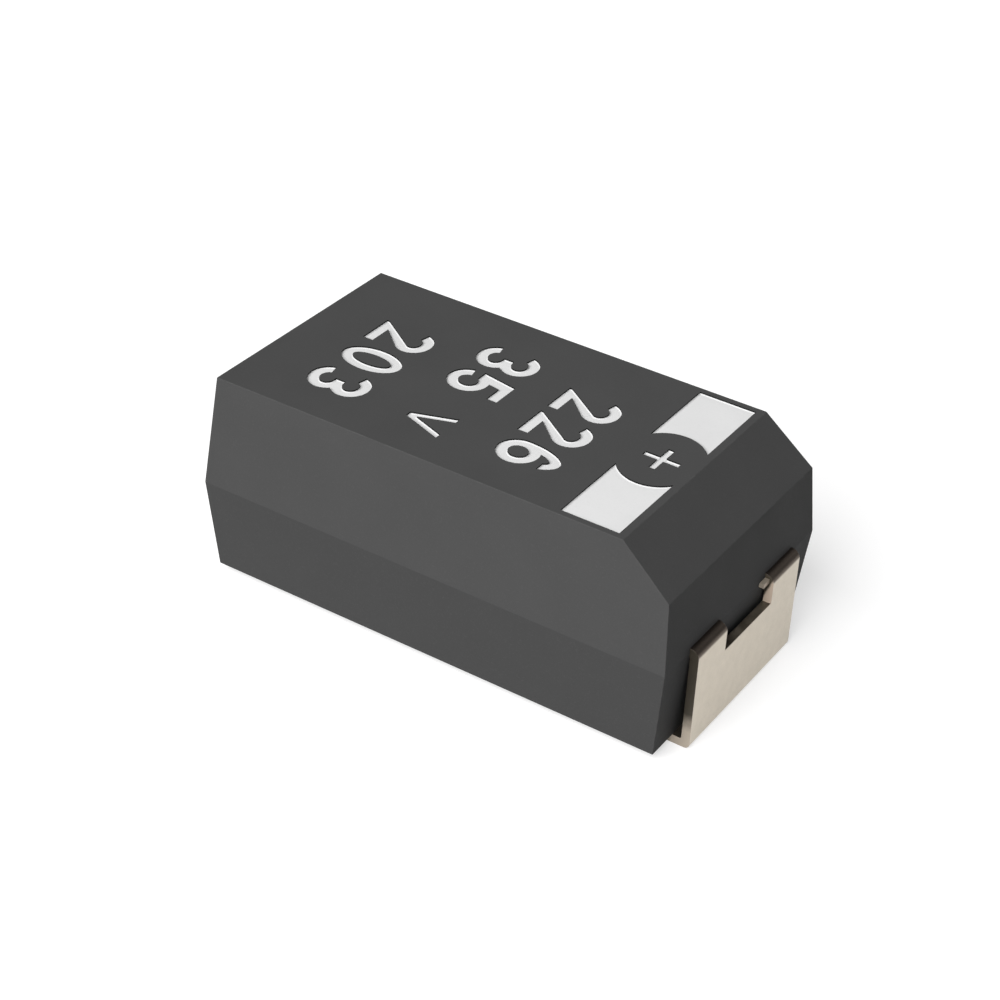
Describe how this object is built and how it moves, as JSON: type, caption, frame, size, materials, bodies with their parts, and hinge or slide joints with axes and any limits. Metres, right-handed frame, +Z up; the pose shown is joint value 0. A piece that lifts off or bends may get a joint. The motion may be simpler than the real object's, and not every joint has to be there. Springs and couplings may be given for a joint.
{
  "type": "tantalum capacitor",
  "caption": "Moulded-case surface-mount tantalum capacitor with a bevelled, striped anode end, marked digits and two folded tin-plated terminals that stand on solder pads.",
  "frame": {"origin": "on the board, under the middle of the part: the undersides of both feet are at Z 0", "axes": "+X along the case towards the anode end, which has the bevel and the stripe; +Z up from the board"},
  "size_m": [0.006, 0.0032, 0.0025],
  "materials": {
    "case_epoxy": "fine moulded satin",
    "tin_plate": "matte tin plate",
    "white_marking": "matte",
    "sintered_tantalum": "porous",
    "tantalum_metal": "drawn metal",
    "white_fluoropolymer": "waxy",
    "conductive_polymer": "satin",
    "graphite_coat": "matte",
    "silver_paint": "flat silver paint",
    "silver_glue": "cured silver paste"
  },
  "bodies": {
    "root": {"case": "case_epoxy", "anode_terminal": "tin_plate", "cathode_terminal": "tin_plate", "polarity_stripe": "white_marking", "plus_sign": "white_marking", "capacitance_code": "white_marking", "rated_voltage": "white_marking", "lot_number": "white_marking", "tantalum_pellet": "sintered_tantalum", "tantalum_wire": "tantalum_metal", "wire_weld": "tantalum_metal", "sealing_washer": "white_fluoropolymer", "polymer_layer": "conductive_polymer", "carbon_layer": "graphite_coat", "silver_layer": "silver_paint", "silver_adhesive": "silver_glue"}
  },
  "joints": []
}
